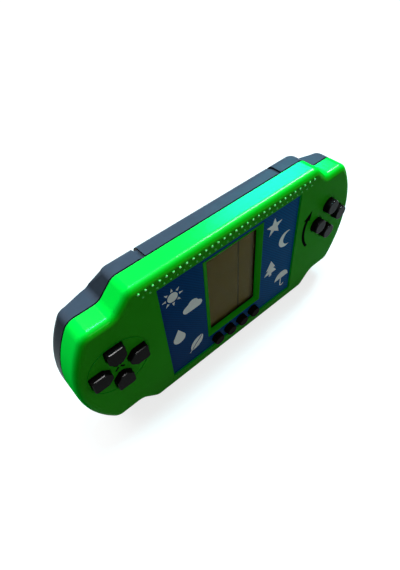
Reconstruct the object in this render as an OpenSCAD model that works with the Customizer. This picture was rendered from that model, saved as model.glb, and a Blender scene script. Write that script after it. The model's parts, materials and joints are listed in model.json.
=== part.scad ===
// Handheld game console: a green front shell and a black rear shell hold a small screen, a direction pad,
// four action buttons and four function keys. It stands upright on the flat underside of its middle block.
//
// Flat shapes are drawn on the face: x to the right, y upwards, both from the middle of the body.
// Depths run from the face into the body, so a negative depth stands proud of the face.

/* [Body] */
// Length from grip end to grip end
body_length = 172; // [158:1:190]
// Height of the bare face above and below the panel
face_frame = 8; // [7:0.5:13]
// Height of the grips
grip_height = 66; // [64:1:72]
// Distance from the end of a grip to the top of the slope beside it
grip_length = 32.5; // [28:0.5:34]
// Slope between the middle block and a grip, in degrees
shoulder_slope = 45; // [38:1:60]
// Radius of the bends at both ends of that slope
shoulder_bend = 5.5; // [4:0.5:7]
// Radius of the curved grip ends
end_radius = 56; // [50:1:64]
// Radius of the corners of the grips
grip_corner = 6; // [5:0.5:8]
// Depth of the front shell, from the face to the seam
front_depth = 11; // [11:0.5:14]
// Rounding of the edge round the face
face_round = 3.6; // [2:0.2:4.4]
// Rounding of the edge round the back
back_round = 5; // [3:0.5:5.5]
// Rounding of that edge where a grip meets the slope beside it
grip_edge = 1; // [0.6:0.2:3]
// Thickness of the face
face_wall = 2.4; // [2.2:0.1:3]
// Thickness of the walls round the sides
side_wall = 2; // [1.6:0.1:2.4]
// Thickness of the back
back_wall = 1.8; // [1.4:0.1:2.2]
// Width and depth of the shadow line at the seam
seam_line = 0.5; // [0.3:0.1:0.7]
// Width of the two grooves across the top of the rear shell
groove_width = 2; // [1.4:0.2:3]
// Depth of those grooves
groove_depth = 1; // [0.6:0.1:1.2]
// Distance of those grooves from the middle
groove_x = 38.5; // [34:0.5:44]

/* [Panel and screen] */
// Width of the recess for the printed panel
panel_width = 84; // [78:1:90]
// Depth of that recess
panel_recess = 1.3; // [1:0.1:1.4]
// Thickness of the printed panel
panel_sheet = 0.4; // [0.2:0.1:0.6]
// Width of the visible screen
window_width = 30; // [26:1:34]
// Height of the visible screen
window_height = 48; // [40:1:56]
// Distance from the frame of the screen up to the panel's upper edge
window_head = 2.6; // [2:0.2:4]
// Height of the panel's strip below the frame of the screen
key_strip = 9.4; // [8.8:0.2:11]
// Width of the sloping frame round the screen
window_bevel = 2.4; // [1.8:0.2:2.8]
// Width of the flat rim outside that slope
window_rim = 0.6; // [0.4:0.1:0.8]
// Thickness of the clear lens
lens_thickness = 0.8; // [0.6:0.1:1.2]
// Thickness of each of the two glass plates
plate_thickness = 1; // [0.7:0.1:1.1]
// Thickness of the reflector behind the glass
reflector_thickness = 0.3; // [0.2:0.1:0.5]
// Least distance from the raised dots to the shoulders
dot_end = 3.5; // [3:0.1:6]
// Distance between two dots
dot_pitch = 3.32; // [2.8:0.02:3.4]
// Radius of a dot at the face
dot_radius = 0.6; // [0.4:0.1:0.8]

/* [Buttons] */
// Distance of both button groups from the ends of the body
pad_edge = 20; // [19:0.5:22]
// Distance of both button groups below the top of the grips
pad_head = 27.7; // [27:0.1:31]
// Distance from the pad's middle to the outer end of a direction cap
dpad_reach = 13.6; // [12.5:0.1:14.5]
// Width of a direction cap
dpad_width = 8.4; // [7.6:0.2:9.4]
// Distance from the pad's middle to the point of a direction cap
dpad_point = 3; // [2.6:0.1:4]
// Height of a direction cap above the face
dpad_rise = 2.6; // [1.8:0.1:3.2]
// Gap between the direction caps and the outer edge of the ring engraved round them
ring_gap = 1.5; // [1:0.1:2.2]
// Diameter of an action button
action_diameter = 8; // [6.4:0.2:8.6]
// Distance from the middle of the diamond to an action button
action_spread = 8.2; // [7.8:0.2:9.2]
// Height of an action button above the face
action_rise = 3.4; // [2:0.1:4]
// Diameter of a function key
key_diameter = 6; // [5:0.2:6.4]
// Gap between two function keys
key_spacing = 2.6; // [2.2:0.2:4]
// Distance of the function keys from the panel's lower edge
key_edge = 4.6; // [4.2:0.1:5]
// Height of a function key above the face
key_rise = 2.2; // [1.4:0.1:3]
// How far every cap can be pressed
travel = 1.2; // [0.8:0.1:1.4]
// Gap between a cap and the edge of its hole
cap_gap = 0.3; // [0.2:0.05:0.4]

/* [Inside] */
// Thickness of the main board
board_thickness = 1.2; // [0.8:0.1:1.6]
// Thickness of the silicone contact sheets
sheet_thickness = 0.8; // [0.6:0.1:1]
// Diameter of a battery cell
cell_diameter = 10.5; // [10:0.1:10.5]
// Length of a battery cell with its nub
cell_length = 44.5; // [43:0.5:44.5]
// Thickness of the walls of the battery bay
bay_wall = 1.2; // [1:0.1:1.6]
// Thickness of the battery door
door_thickness = 1.6; // [1.5:0.1:2]
// Radius of the buzzer
buzzer_radius = 10; // [8:0.5:11]
// Radius of the case screws' thread
screw_radius = 1.15; // [1:0.05:1.3]
// Outer radius of the screw bosses
boss_radius = 3.2; // [3:0.1:3.4]

/* [Hidden] */
$fn = 48;

// Colours
shell_green = [0.05, 0.72, 0.12];
shell_black = [0.07, 0.08, 0.1];
panel_blue = [0.03, 0.16, 0.38];
cap_black = [0.03, 0.03, 0.035];
silicone_grey = [0.62, 0.62, 0.6];
board_green = [0.1, 0.32, 0.14];
metal_grey = [0.72, 0.72, 0.74];

// Small clearances
cut = 1;
eps = 0.01;
play = 0.2;
flange_play = 0.15;
dome_play = 0.05;
contact_play = 0.05;
thread_play = 0.05;

// Steps of the outline's arcs and of the rounded edges
end_steps = 7;
bend_steps = 4;
round_steps = 5;
least_bend = 0.3;

// The panel frames the screen and the key strip, and the middle block frames the panel
window_slope_out = window_bevel + window_rim;
panel_height = window_head + window_height + 2 * window_slope_out + key_strip;
body_height = panel_height + 2 * face_frame;
window_rise = panel_height / 2 - window_head - window_slope_out - window_height / 2;
shoulder_x = body_length / 2 - grip_length;

// Places of the buttons on the face
pad_x = body_length / 2 - pad_edge;
pad_y = grip_height / 2 - pad_head;
ring_radius = dpad_reach + ring_gap;
key_pitch = key_diameter + key_spacing;
key_drop = panel_height / 2 - key_edge;

// Depths of the layers behind the screen, from the face to the back
glass_front = face_wall + lens_thickness;
plate_back = glass_front + plate_thickness;
reflector_front = plate_back + plate_thickness;
reflector_back = reflector_front + reflector_thickness;
board_gap = 0.5;
board_front = reflector_back + board_gap;
board_back = board_front + board_thickness;
solder_gap = 0.4;
tray_wall = 0.9;
tray_front = board_back + solder_gap;
tray_back = tray_front + tray_wall;
cell_front = tray_back + play;
cell_middle = cell_front + cell_diameter / 2;
cell_back = cell_front + cell_diameter;
door_front = cell_back + play;
body_depth = door_front + door_thickness;
back_inside = body_depth - back_wall;

// Standing place: flat underside on the ground, middle of the depth over the origin
front_most = max(dpad_rise, action_rise, key_rise);
stand_y = -(body_depth - front_most) / 2;
stand_z = body_height / 2;

// Screen pieces
rim_proud = 0.1;
rim_depth = panel_recess - panel_sheet - rim_proud;
lens_margin = 2;
glass_margin = 3;
glass_foot = 2.4;
glass_head = 2.1;
ledge_height = 4;
glass_width = window_width + 2 * glass_margin;
glass_bottom = window_rise - window_height / 2 - glass_foot;
glass_top = window_rise + window_height / 2 + glass_head;
ledge_top = glass_top + ledge_height;
zebra_width = 2.6;
fence = 1;
fence_proud = 0.1;
fence_back = reflector_back + fence_proud;

// Button pieces under the face
flange = 0.9;
flange_thickness = 1;
flange_front = face_wall + flange_play;
flange_back = flange_front + flange_thickness;
sheet_front = board_front - sheet_thickness;
dome_back = board_front - travel - dome_play;
dome_wall = 0.4;
dome_flare = 0.7;
pill_radius = 1.1;
hole_rim = 0.4;
dome_small = 1.7;
dome_large = 2.4;
sheet_rim = 2.4;
sheet_margin = 1;
cap_bevel = 0.7;
cap_round = 0.5;
cap_corner = 0.6;
point_flat = 1.4;
dome_shift = 0.5;
dpad_middle = (dpad_point + dpad_reach) / 2 + dome_shift;
dpad_sheet_radius = dpad_reach + flange + sheet_margin;
action_sheet_radius = action_spread + action_diameter / 2 + flange + sheet_margin;
key_sheet_up = key_diameter / 2 + flange;
key_sheet_down = key_diameter / 2 + sheet_rim;
ring_width = 0.5;
ring_depth = 0.3;

// Dots: as many as fit between the shoulders, the upper row where the rounded edge starts,
// the lower row half a pitch aside
dot_count = 2 * floor((shoulder_x - dot_end) / dot_pitch) + 1;
dot_rise = 0.5;
dot_row_gap = 2.7;
dot_row_y = body_height / 2 - face_round;
dot_sphere = (dot_radius * dot_radius + dot_rise * dot_rise) / (2 * dot_rise);

// Lip of the rear shell inside the front shell
lip_thickness = 1;
lip_height = 1;
lip_root = 1.5;
lip_inset = side_wall + play;
corner_wall = 1;

// Case screws: bosses stand clear of the lip
boss_gap = 0.6;
end_gap = 0.5;
boss_inset = 7.5;
boss_edge = lip_inset + lip_thickness + boss_radius + boss_gap;
end_x = body_length / 2 - end_radius;
upper_boss_y = grip_height / 2 - boss_edge;
upper_boss_x = end_x + sqrt(pow(end_radius - boss_edge, 2) - pow(upper_boss_y, 2)) - end_gap;
middle_boss_x = shoulder_x - boss_inset;
middle_boss_y = body_height / 2 - boss_edge;
case_screw_spots = [
    [upper_boss_x, upper_boss_y], [-upper_boss_x, upper_boss_y],
    [pad_x, -upper_boss_y], [-pad_x, -upper_boss_y],
    [middle_boss_x, middle_boss_y], [-middle_boss_x, middle_boss_y]
];
head_radius = 2.2;
head_height = 1.4;
seat_depth = 3.4;
head_seat = front_depth + seat_depth;
tip_reach = 1;
screw_tip = board_back - tip_reach;
bore_past_tip = 1;
rear_boss_step = 0.3;
rear_boss_radius = boss_radius + rear_boss_step;

// Board screws
post_radius = 2.4;
post_gap = 2.6;
post_edge = 1;
post_x = glass_width / 2 + fence + post_radius + post_gap;
post_y = body_height / 2 - side_wall - post_radius - post_edge;
post_floor = 1;
board_bore = face_wall + post_floor;
board_screw_tip = board_bore + bore_past_tip;
board_screw_radius = 0.9;
board_head_radius = 1.9;
board_head_height = 1.1;
board_clear = 0.8;
board_screw_spots = [[post_x, post_y], [-post_x, post_y], [post_x, -post_y], [-post_x, -post_y]];

// Battery bay
nub_radius = 1.9;
nub_length = 0.9;
contact_plate = 0.4;
bump = 0.5;
leaf_reach = 1.6;
plus_space = contact_plate + bump + contact_play;
minus_space = contact_plate + leaf_reach + contact_play;
bay_length = cell_length + plus_space + minus_space;
bay_width = 2 * cell_diameter + 3 * play;
cell_y = (cell_diameter + play) / 2;
bay_end = bay_length / 2;
ledge = 3;
ledge_thickness = 1.6;
screw_ledge = 7;
door_corner = 2;
door_left = bay_end + ledge;
door_right = bay_end + ledge + screw_ledge;
door_high = bay_width + 2 * ledge;
door_frame = 1.6;
door_screw_gap = 4.6;
door_screw_x = bay_end + bay_wall + door_screw_gap;
door_screw_radius = 1;
door_head_radius = 2;
door_head_height = 1;
door_boss_radius = 2.8;
door_bore_floor = 1.5;
door_screw_tip = front_depth + door_bore_floor;
tab_length = 4;
tab_width = 2.5;
tab_step = 1.2;
tab_front = cell_front + tab_step;
contact_width = 7;
contact_height = 8;
crest_half = 1;
slot_play = 0.15;

// Buzzer
buzzer_end = 33.25;
buzzer_x = buzzer_end - body_length / 2;
buzzer_y = -4;
buzzer_plate = 0.3;
buzzer_disc = 0.3;
buzzer_disc_edge = 3;
buzzer_seat = 1;
buzzer_back = back_inside - buzzer_seat;
buzzer_front = buzzer_back - buzzer_plate - buzzer_disc;
sound_slots = 5;
sound_slot_width = 1.2;
sound_slot_pitch = 2.6;

// Leads
lead_radius = 0.5;
lead_sides = 8;
lead_landing_x = 7;
lead_landing_y = 4;
buzzer_joint_x = 2;
buzzer_joint_y = 2.5;
tab_joint = 1;
battery_lead_spread = 2;

// Small parts on the back of the board
chip_radius = 6;
chip_rise = 1.5;
chip_y = -24;
resistor_size = [3.2, 1.6, 0.6];
resistor_pitch = 4.6;
resistor_row_y = 20;
capacitor_radius = 2.5;
capacitor_height = 7;
capacitor_gap = 9;
capacitor_x = bay_end + bay_wall + capacitor_gap;
capacitor_y = 18;

// Points of an arc from angle a to angle b
function arc(x, y, r, a, b, n) =
    [for (k = [0:n]) let(t = a + (b - a) * k / n) [x + r * cos(t), y + r * sin(t)]];

// The list without its first point
function rest_of(points) = [for (k = [1:len(points) - 1]) points[k]];

// Upper right quarter of the body's outline, moved inwards by t
function quarter(t) =
    let(
        half_grip = grip_height / 2 - t,
        half_body = body_height / 2 - t,
        r_end = end_radius - t,
        r_corner = max(grip_corner - t, least_bend),
        corner_y = half_grip - r_corner,
        corner_x = end_x + sqrt(pow(r_end - r_corner, 2) - pow(corner_y, 2)),
        a_end = atan2(corner_y, corner_x - end_x),
        shift = t * tan(shoulder_slope / 2),
        slope_run = (body_height - grip_height) / 2 / tan(shoulder_slope),
        r_foot = shoulder_bend + t,
        r_head = max(shoulder_bend - t, least_bend),
        foot_x = shoulder_x + slope_run - shift + r_foot * tan(shoulder_slope / 2),
        head_x = shoulder_x - shift - r_head * tan(shoulder_slope / 2)
    )
    concat(
        arc(end_x, 0, r_end, a_end / (2 * end_steps + 1), a_end, end_steps),
        rest_of(arc(corner_x, corner_y, r_corner, a_end, 90, bend_steps)),
        arc(foot_x, half_grip + r_foot, r_foot, 270, 270 - shoulder_slope, bend_steps),
        arc(head_x, half_body - r_head, r_head, 90 - shoulder_slope, 90, bend_steps)
    );

// Whole outline of the body, moved inwards by t
function outline(t) =
    let(q = quarter(t), last = len(q) - 1)
    concat(
        q,
        [for (k = [last:-1:0]) [-q[k].x, q[k].y]],
        [for (k = [0:last]) [-q[k].x, -q[k].y]],
        [for (k = [last:-1:0]) [q[k].x, -q[k].y]]
    );

// Inset and depth of the rings that round an edge of radius r whose flat lies at depth 0
function rounding(r) =
    [for (k = [0:round_steps]) let(a = 90 * k / round_steps) [r * (1 - sin(a)), r * (1 - cos(a))]];

// Outline of a direction cap that points along +x, grown by g
function cap_outline(g) =
    let(
        half = dpad_width / 2 + g,
        reach = dpad_reach + g,
        point = dpad_point + point_flat - g,
        side_x = point + half - point_flat
    )
    [
        [point, -point_flat], [side_x, -half], [reach - cap_corner, -half], [reach, cap_corner - half],
        [reach, half - cap_corner], [reach - cap_corner, half], [side_x, half], [point, point_flat]
    ];

// Ring of the outline, moved inwards by t, at one depth
function flat_ring(t, depth) = [for (p = outline(t)) [p.x, p.y, -depth]];

// Whether point i of the outline lies in the bend between a grip and the slope beside it
function in_foot(i) =
    let(
        quarter_points = len(quarter(0)),
        k = i % (2 * quarter_points),
        from_end = min(k, 2 * quarter_points - 1 - k),
        first = end_steps + bend_steps + 1
    )
    from_end >= first && from_end <= first + bend_steps;

// Ring k of the rounded back edge, which is nearly sharp at the foot of each slope and blunt elsewhere
function back_ring(k) =
    let(
        blunt = rounding(back_round)[k],
        sharp = rounding(grip_edge)[k],
        blunt_ring = flat_ring(blunt.x, body_depth - blunt.y),
        sharp_ring = flat_ring(sharp.x, body_depth - sharp.y)
    )
    [for (i = [0:len(blunt_ring) - 1]) in_foot(i) ? sharp_ring[i] : blunt_ring[i]];

// Turns the face upright and stands the body on the ground
module stand() {
    translate([0, stand_y, stand_z])
        rotate([90, 0, 0])
            children();
}

// Gives a flat shape its thickness between two depths
module slab(front, back) {
    translate([0, 0, -back])
        linear_extrude(back - front)
            children();
}

// Solid through rings of points, from front to back
module loft(rings) {
    n = len(rings[0]);
    points = [for (ring = rings) each ring];
    sides = [
        for (i = [0:len(rings) - 2])
            for (j = [0:n - 1])
                let(a = i * n + j, b = i * n + (j + 1) % n)
                    each [[a, b, b + n], [a, b + n, a + n]]
    ];
    front_cap = [for (j = [n - 1:-1:0]) j];
    back_cap = [for (j = [0:n - 1]) (len(rings) - 1) * n + j];
    polyhedron(points, concat([front_cap], sides, [back_cap]));
}

// The outline between two insets, as a flat band
module band(outer, inner) {
    difference() {
        polygon(outline(outer));
        polygon(outline(inner));
    }
}

// Rectangle with round corners
module round_box(x0, y0, x1, y1, r) {
    translate([x0 + r, y0])
        square([x1 - x0 - 2 * r, y1 - y0]);
    translate([x0, y0 + r])
        square([x1 - x0, y1 - y0 - 2 * r]);
    for (x = [x0 + r, x1 - r], y = [y0 + r, y1 - r])
        translate([x, y])
            circle(r);
}

// Rectangle round the middle of the screen, grown by g
module screen_box(g) {
    translate([0, window_rise])
        square([window_width + 2 * g, window_height + 2 * g], center = true);
}

// Places a copy at each spot
module at_spots(spots) {
    for (spot = spots)
        translate(spot)
            children();
}

// Places a shape at one of the four sides of a button group
module at_side(x, side) {
    translate([x, pad_y])
        rotate(side * 90)
            children();
}

// Places a shape at a function key
module at_key(i) {
    translate([(i - 1.5) * key_pitch, -key_drop])
        children();
}

// Sloping walls of the screen window
module window_slope() {
    w = window_width / 2;
    h = window_height / 2;
    b = window_bevel;
    top = -rim_depth + eps;
    low = -face_wall;
    translate([0, window_rise, 0])
        polyhedron(
            [
                [-w, -h, low], [w, -h, low], [w, h, low], [-w, h, low],
                [-w - b, -h - b, top], [w + b, -h - b, top], [w + b, h + b, top], [-w - b, h + b, top]
            ],
            [[0, 1, 2, 3], [7, 6, 5, 4], [0, 4, 5, 1], [1, 5, 6, 2], [2, 6, 7, 3], [3, 7, 4, 0]]
        );
}

// Two rows of raised dots above the panel
module dots() {
    for (row = [0, 1]) {
        last = dot_count - 1 - row;
        for (i = [0:last])
            translate([(i - last / 2) * dot_pitch, dot_row_y - row * dot_row_gap, dot_rise - dot_sphere])
                sphere(dot_sphere);
    }
}

// Ribs inside the face that hold the glass on three sides
module glass_fence() {
    x = glass_width / 2 + play;
    for (side = [-1, 1])
        translate([side * (x + fence / 2), (glass_bottom + ledge_top) / 2])
            square([fence, ledge_top - glass_bottom], center = true);
    translate([0, ledge_top + play + fence / 2])
        square([2 * (x + fence), fence], center = true);
}

module front_shell() {
    face_rings = [for (ring = rounding(face_round)) flat_ring(ring.x, ring.y)];
    color(shell_green)
        stand()
            difference() {
                union() {
                    difference() {
                        loft(concat(face_rings, [flat_ring(0, front_depth)]));
                        slab(face_wall, front_depth + cut)
                            polygon(outline(side_wall));
                    }
                    slab(face_wall - eps, front_depth)
                        at_spots(case_screw_spots)
                            circle(boss_radius);
                    slab(face_wall - eps, board_front)
                        at_spots(board_screw_spots)
                            circle(post_radius);
                    slab(face_wall - eps, fence_back)
                        glass_fence();
                    dots();
                }
                slab(-cut, panel_recess)
                    difference() {
                        square([panel_width, panel_height], center = true);
                        screen_box(window_slope_out);
                    }
                slab(-cut, rim_depth)
                    screen_box(window_slope_out);
                window_slope();
                slab(face_wall - cut, face_wall + eps)
                    screen_box(0);
                slab(-cut, ring_depth)
                    translate([-pad_x, pad_y])
                        difference() {
                            circle(ring_radius);
                            circle(ring_radius - ring_width);
                        }
                slab(-cut, face_wall + cut) {
                    for (side = [0:3]) {
                        at_side(-pad_x, side)
                            polygon(cap_outline(cap_gap));
                        at_side(pad_x, side)
                            translate([action_spread, 0])
                                circle(action_diameter / 2 + cap_gap);
                        at_key(side)
                            circle(key_diameter / 2 + cap_gap);
                    }
                }
                slab(screw_tip - bore_past_tip, front_depth + cut)
                    at_spots(case_screw_spots)
                        circle(screw_radius + thread_play);
                slab(board_bore, board_front + cut)
                    at_spots(board_screw_spots)
                        circle(board_screw_radius + thread_play);
            }
}

// Door's outline, grown by g
module door_shape(g) {
    high = door_high / 2 + g;
    round_box(-door_left - g, -high, door_right + g, high, door_corner);
}

// Inside of the battery bay, grown by g
module bay_shape(g) {
    square([bay_length + 2 * g, bay_width + 2 * g], center = true);
}

// Slots through which the contacts' tabs leave the bay at its right end
module tab_slots() {
    slab(tab_front - slot_play, tab_front + contact_plate + slot_play)
        for (side = [-1, 1])
            translate([bay_end - cut, side * cell_y - tab_width / 2 - slot_play])
                square([bay_wall + 2 * cut, tab_width + 2 * slot_play]);
}

// Groove across the top of the rear shell, led over the rounded edge to the back
module groove() {
    bend_depth = body_depth - back_round;
    bend_y = body_height / 2 - back_round;
    floor_points = arc(bend_depth, bend_y, back_round - groove_depth, 90, 0, round_steps);
    top = body_height / 2 + cut;
    rotate([0, 90, 0])
        linear_extrude(groove_width)
            polygon(concat(
                [[front_depth, top], [front_depth, body_height / 2 - groove_depth]],
                floor_points,
                [[body_depth + cut, bend_y], [body_depth + cut, top]]
            ));
}

module rear_shell() {
    lip_in = lip_inset + lip_thickness;
    seam_back = front_depth + seam_line;
    seam_rings = [flat_ring(seam_line, front_depth), flat_ring(seam_line, seam_back)];
    edge_rings = [for (k = [round_steps:-1:0]) back_ring(k)];
    color(shell_black)
        stand()
            difference() {
                union() {
                    difference() {
                        loft(concat(seam_rings, [flat_ring(0, seam_back)], edge_rings));
                        slab(front_depth - cut, body_depth - back_round)
                            polygon(outline(side_wall));
                        slab(body_depth - back_round - eps, back_inside)
                            polygon(outline(back_round - corner_wall));
                    }
                    slab(front_depth - lip_height, front_depth + lip_root)
                        band(lip_inset, lip_in);
                    slab(seam_back + eps, front_depth + lip_root)
                        band(side_wall - seam_line, lip_in);
                    slab(front_depth + flange_play, back_inside + eps)
                        at_spots(case_screw_spots)
                            circle(rear_boss_radius);
                    slab(tray_front, back_inside + eps)
                        bay_shape(bay_wall);
                    slab(door_front - ledge_thickness, back_inside + eps)
                        door_shape(door_frame);
                    slab(front_depth, door_front)
                        translate([door_screw_x, 0])
                            circle(door_boss_radius);
                    slab(buzzer_back, back_inside + eps)
                        translate([buzzer_x, buzzer_y])
                            difference() {
                                circle(buzzer_radius);
                                circle(buzzer_radius - buzzer_seat);
                            }
                }
                slab(tray_back, body_depth + cut)
                    bay_shape(0);
                slab(door_front, body_depth + cut)
                    door_shape(play);
                slab(door_screw_tip, body_depth)
                    translate([door_screw_x, 0])
                        circle(door_screw_radius + thread_play);
                slab(front_depth - cut, body_depth)
                    at_spots(case_screw_spots)
                        circle(screw_radius + play);
                slab(head_seat, body_depth + cut)
                    at_spots(case_screw_spots)
                        circle(head_radius + play);
                tab_slots();
                for (side = [-1, 1])
                    translate([side * groove_x - groove_width / 2, 0, 0])
                        groove();
                slab(back_inside - cut, body_depth + cut)
                    translate([buzzer_x, buzzer_y])
                        for (i = [0:sound_slots - 1])
                            translate([0, (i - (sound_slots - 1) / 2) * sound_slot_pitch])
                                square([buzzer_radius, sound_slot_width], center = true);
            }
}

module battery_door() {
    color(shell_black)
        stand()
            difference() {
                slab(door_front, body_depth)
                    door_shape(0);
                slab(door_front - cut, body_depth + cut)
                    translate([door_screw_x, 0])
                        circle(door_screw_radius + thread_play);
                slab(body_depth - door_head_height, body_depth + cut)
                    translate([door_screw_x, 0])
                        circle(door_head_radius + thread_play);
            }
}

// Screw with a round, cross-cut head whose underside lies at depth seat
module screw(tip, seat, head_back, r, head_r) {
    slot = head_r / 4;
    span = 1.3 * head_r;
    slab(tip, seat + eps)
        circle(r);
    difference() {
        slab(seat, head_back)
            circle(head_r);
        slab((seat + head_back) / 2, head_back + cut) {
            square([span, slot], center = true);
            square([slot, span], center = true);
        }
    }
}

module door_screw() {
    color(metal_grey)
        stand()
            translate([door_screw_x, 0])
                screw(
                    door_screw_tip + play, body_depth - door_head_height, body_depth - play,
                    door_screw_radius, door_head_radius
                );
}

module case_screws() {
    color(metal_grey)
        stand()
            at_spots(case_screw_spots)
                screw(screw_tip, head_seat, head_seat + head_height, screw_radius, head_radius);
}

module board_screws() {
    color(metal_grey)
        stand()
            at_spots(board_screw_spots)
                screw(
                    board_screw_tip, board_back, board_back + board_head_height,
                    board_screw_radius, board_head_radius
                );
}

module face_panel() {
    color(panel_blue)
        stand()
            slab(panel_recess - panel_sheet, panel_recess)
                difference() {
                    square([panel_width - 2 * play, panel_height - 2 * play], center = true);
                    screen_box(window_slope_out + play);
                    for (i = [0:3])
                        at_key(i)
                            circle(key_diameter / 2 + cap_gap);
                }
}

module screen_lens() {
    color([0.8, 0.85, 0.8, 0.4])
        stand()
            slab(face_wall, glass_front)
                screen_box(lens_margin);
}

module lcd_glass() {
    color([0.36, 0.33, 0.22, 0.8])
        stand() {
            slab(glass_front, plate_back)
                translate([-glass_width / 2, glass_bottom])
                    square([glass_width, ledge_top - glass_bottom]);
            slab(plate_back - eps, reflector_front)
                translate([-glass_width / 2, glass_bottom])
                    square([glass_width, glass_top - glass_bottom]);
        }
}

module lcd_reflector() {
    color([0.6, 0.6, 0.52])
        stand()
            slab(reflector_front, reflector_back)
                translate([-glass_width / 2, glass_bottom])
                    square([glass_width, glass_top - glass_bottom]);
}

module zebra_strip() {
    color([0.75, 0.45, 0.5])
        stand()
            slab(plate_back, board_front)
                translate([-glass_width / 2, ledge_top - zebra_width - play])
                    square([glass_width, zebra_width]);
}

module main_board() {
    color(board_green)
        stand()
            slab(board_front, board_back)
                difference() {
                    polygon(outline(side_wall + board_clear));
                    at_spots(case_screw_spots)
                        circle(boss_radius + play);
                    at_spots(board_screw_spots)
                        circle(board_screw_radius + play);
                }
}

module chip_blob() {
    blob_sphere = (chip_radius * chip_radius + chip_rise * chip_rise) / (2 * chip_rise);
    color([0.05, 0.05, 0.06])
        stand()
            translate([0, chip_y, -board_back])
                rotate_extrude()
                    intersection() {
                        translate([0, blob_sphere - chip_rise])
                            circle(blob_sphere, $fn = 4 * $fn);
                        translate([0, -chip_rise])
                            square([chip_radius, chip_rise]);
                    }
}

module board_resistors() {
    color([0.1, 0.1, 0.1])
        stand()
            slab(board_back, board_back + resistor_size.z)
                for (i = [-2:2])
                    translate([i * resistor_pitch, resistor_row_y])
                        square([resistor_size.y, resistor_size.x], center = true);
}

module board_capacitors() {
    color([0.1, 0.12, 0.3])
        stand()
            slab(board_back, board_back + capacitor_height)
                for (side = [-1, 1])
                    translate([side * capacitor_x, capacitor_y])
                        circle(capacitor_radius);
}

module buzzer() {
    color([0.82, 0.65, 0.25])
        stand()
            translate([buzzer_x, buzzer_y]) {
                slab(buzzer_back - buzzer_plate, buzzer_back)
                    circle(buzzer_radius);
                slab(buzzer_front, buzzer_back - buzzer_plate + eps)
                    circle(buzzer_radius - buzzer_disc_edge);
            }
}

// Tube along a route of points, each [x, y, depth], with its ends square to the depth
module lead(route) {
    points = [
        for (p = route)
            for (k = [0:lead_sides - 1])
                let(a = 360 * k / lead_sides)
                    [p.x + lead_radius * cos(a), p.y + lead_radius * sin(a), -p.z]
    ];
    last = len(route) - 1;
    sides = [
        for (i = [0:last - 1])
            for (k = [0:lead_sides - 1])
                let(a = i * lead_sides + k, b = i * lead_sides + (k + 1) % lead_sides)
                    each [[a, b, b + lead_sides], [a, b + lead_sides, a + lead_sides]]
    ];
    front_cap = [for (k = [lead_sides - 1:-1:0]) k];
    back_cap = [for (k = [0:lead_sides - 1]) last * lead_sides + k];
    polyhedron(points, concat([front_cap], sides, [back_cap]));
}

// Soft bend from a point on the board to a landing behind it
module bent_lead(x0, y0, x1, y1, depth) {
    n = 8;
    lead([
        for (k = [0:n])
            let(t = k / n, s = t * t * (3 - 2 * t))
                [x0 + (x1 - x0) * s, y0 + (y1 - y0) * s, board_back + (depth - board_back) * t]
    ]);
}

module buzzer_leads() {
    color([0.75, 0.1, 0.08])
        stand()
            for (side = [-1, 1])
                bent_lead(
                    buzzer_x + lead_landing_x, buzzer_y + side * lead_landing_y,
                    buzzer_x + buzzer_joint_x, buzzer_y + side * buzzer_joint_y, buzzer_front
                );
}

module battery_leads() {
    color([0.75, 0.1, 0.08])
        stand()
            for (side = [-1, 1])
                bent_lead(
                    bay_end + bay_wall + lead_landing_x, side * (cell_y + battery_lead_spread),
                    bay_end + tab_length - tab_joint, side * cell_y, tab_front
                );
}

// Cell that lies along x with its nub towards +x
module cell() {
    body_end = cell_length - nub_length;
    rotate([0, 90, 0]) {
        cylinder(r = cell_diameter / 2, h = body_end);
        cylinder(r = nub_radius, h = cell_length);
    }
}

module battery_upper() {
    color([0.2, 0.2, 0.22])
        stand()
            translate([minus_space - bay_end, cell_y, -cell_middle])
                cell();
}

module battery_lower() {
    color([0.2, 0.2, 0.22])
        stand()
            translate([bay_end - minus_space, -cell_y, -cell_middle])
                mirror([1, 0, 0])
                    cell();
}

// Contact plate against the bay's left end, with the bump for a nub
module plus_contact() {
    translate([0, -contact_width / 2, -contact_height / 2])
        cube([contact_plate, contact_width, contact_height]);
    rotate([0, 90, 0])
        cylinder(r = nub_radius, h = contact_plate + bump);
}

// Contact plate against the bay's left end, with a bent leaf for a flat end
module minus_contact() {
    leaf = contact_plate;
    crest = contact_plate + leaf_reach;
    low = contact_height / 2;
    translate([0, -contact_width / 2, -low])
        cube([contact_plate, contact_width, contact_height]);
    rotate([90, 0, 0])
        translate([0, 0, -contact_width / 4])
            linear_extrude(contact_width / 2)
                polygon([
                    [eps, low], [contact_plate, low], [crest, crest_half], [crest, -crest_half],
                    [crest - leaf, -crest_half], [crest - leaf, crest_half - leaf],
                    [contact_plate, low - 2 * leaf], [eps, low - 2 * leaf]
                ]);
}

// Tab that leaves the bay through its end wall, for a contact at the left end
module contact_tab() {
    depth = tab_front - cell_middle;
    translate([-tab_length, -tab_width / 2, -depth - contact_plate])
        cube([tab_length + contact_plate, tab_width, contact_plate]);
}

// Places a contact drawn for the bay's left end at a cell
module at_cell_end(side, y) {
    translate([side * bay_end, y, -cell_middle])
        mirror([side > 0 ? 1 : 0, 0, 0])
            children();
}

module contact_bridge() {
    color(metal_grey)
        stand() {
            at_cell_end(-1, cell_y)
                minus_contact();
            at_cell_end(-1, -cell_y)
                plus_contact();
            at_cell_end(-1, 0)
                translate([0, -cell_y, -contact_height / 4])
                    cube([contact_plate, 2 * cell_y, contact_height / 2]);
        }
}

module contact_positive() {
    color(metal_grey)
        stand()
            at_cell_end(1, cell_y) {
                plus_contact();
                contact_tab();
            }
}

module contact_negative() {
    color(metal_grey)
        stand()
            at_cell_end(1, -cell_y) {
                minus_contact();
                contact_tab();
            }
}

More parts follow.
